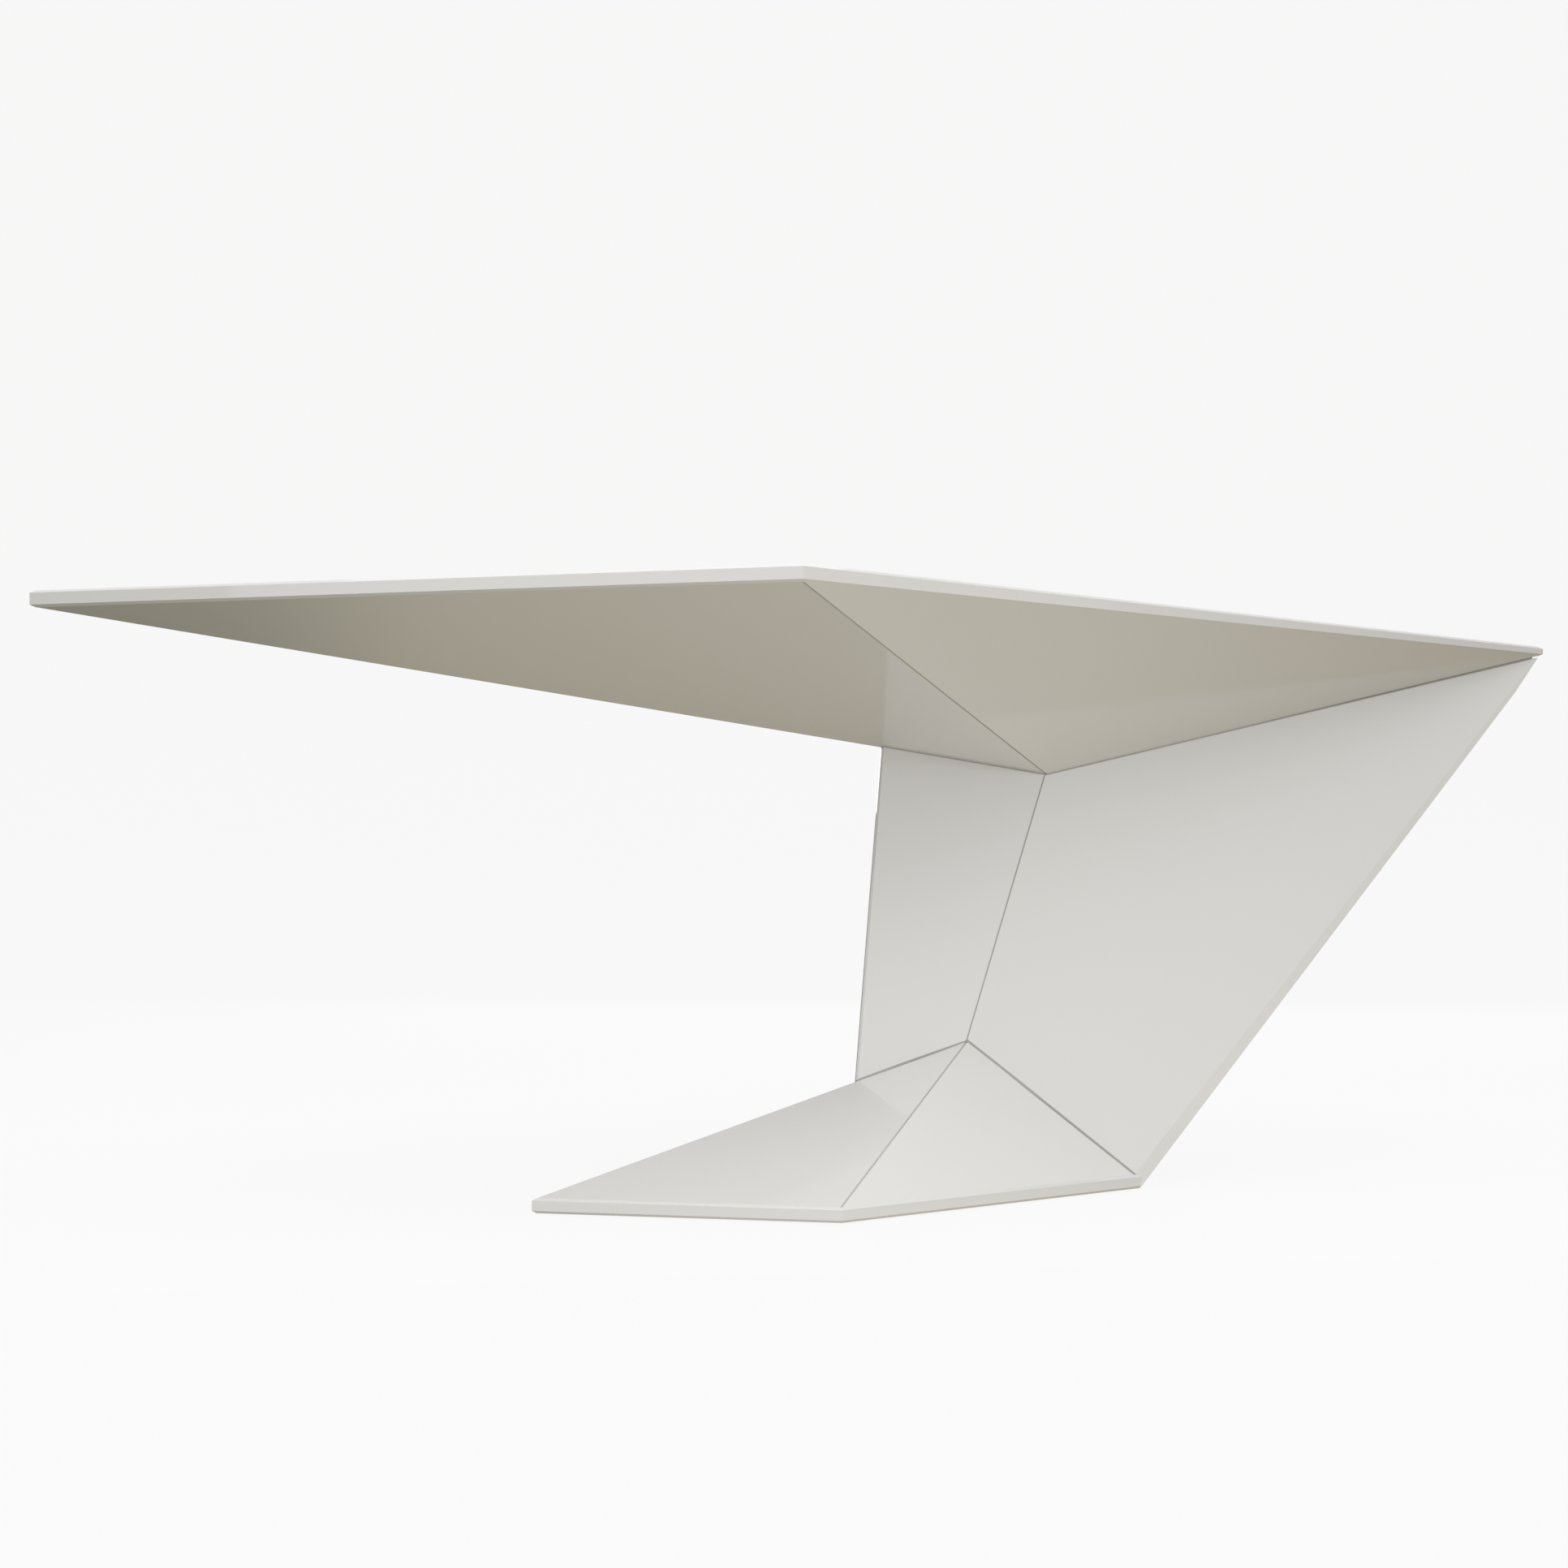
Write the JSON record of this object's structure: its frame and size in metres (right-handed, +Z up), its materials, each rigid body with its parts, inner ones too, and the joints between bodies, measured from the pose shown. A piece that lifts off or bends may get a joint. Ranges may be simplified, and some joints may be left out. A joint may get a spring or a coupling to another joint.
{
  "type": "faceted cantilever desk",
  "caption": "Free-standing white desk: flat kite-shaped worktop with faceted underside, carried off to one side by a leaning folded wall on a faceted base.",
  "frame": {"origin": "middle of the whole desk's plan box, on the floor under the levelling glides", "axes": "+X along the worktop's length towards the corner over the wall, +Y from the front corner towards the back, +Z up"},
  "size_m": [1.987, 0.905, 0.74],
  "materials": {
    "white_lacquer": "satin to gloss off-white lacquer on board",
    "grey_seam": "matt warm grey sealed joint",
    "frame_steel": "dark powder-coated steel",
    "ballast_steel": "mill-scale plate, oiled",
    "zinc_fastener": "bright zinc plate",
    "brass_insert": "machined brass",
    "glide_steel": "turned steel"
  },
  "bodies": {
    "desk": {"ballast_plate_1": "ballast_steel", "ballast_plate_2": "ballast_steel", "base_back_left": "white_lacquer", "base_back_right": "white_lacquer", "base_front_left": "white_lacquer", "base_front_right": "white_lacquer", "base_seams": "grey_seam", "base_slab": "white_lacquer", "foot_plate": "frame_steel", "foot_plate_bolts": "zinc_fastener", "glide_sleeves": "zinc_fastener", "head_plate": "frame_steel", "head_plate_screws": "zinc_fastener", "soffit_back_left": "white_lacquer", "soffit_back_right": "white_lacquer", "soffit_front_left": "white_lacquer", "soffit_front_right": "white_lacquer", "soffit_seams": "grey_seam", "spine_post": "frame_steel", "wall_back_left": "white_lacquer", "wall_back_right": "white_lacquer", "wall_edge_left": "white_lacquer", "wall_edge_right": "white_lacquer", "wall_fold_seams": "grey_seam", "wall_foot_gasket": "grey_seam", "wall_front_left": "white_lacquer", "wall_front_right": "white_lacquer", "wall_head_gasket": "grey_seam", "worktop_edge_back_left": "white_lacquer", "worktop_edge_back_right": "white_lacquer", "worktop_edge_front_left": "white_lacquer", "worktop_edge_front_right": "white_lacquer", "worktop_inserts": "brass_insert", "worktop_rib_back": "frame_steel", "worktop_rib_front": "frame_steel", "worktop_rib_left": "frame_steel", "worktop_rib_right": "frame_steel", "worktop_screws": "zinc_fastener", "worktop_sheet": "white_lacquer"},
    "front_foot": {"front_glide": "glide_steel"},
    "right_foot": {"right_glide": "glide_steel"},
    "back_foot": {"back_glide": "glide_steel"},
    "left_foot": {"left_glide": "glide_steel"}
  },
  "joints": [
    {"name": "front_glide_travel", "type": "slide", "parent": "desk", "child": "front_foot", "axis": [0, 0, -1], "range_m": [0, 0.01]},
    {"name": "right_glide_travel", "type": "slide", "parent": "desk", "child": "right_foot", "axis": [0, 0, -1], "range_m": [0, 0.01]},
    {"name": "back_glide_travel", "type": "slide", "parent": "desk", "child": "back_foot", "axis": [0, 0, -1], "range_m": [0, 0.01]},
    {"name": "left_glide_travel", "type": "slide", "parent": "desk", "child": "left_foot", "axis": [0, 0, -1], "range_m": [0, 0.01]}
  ]
}
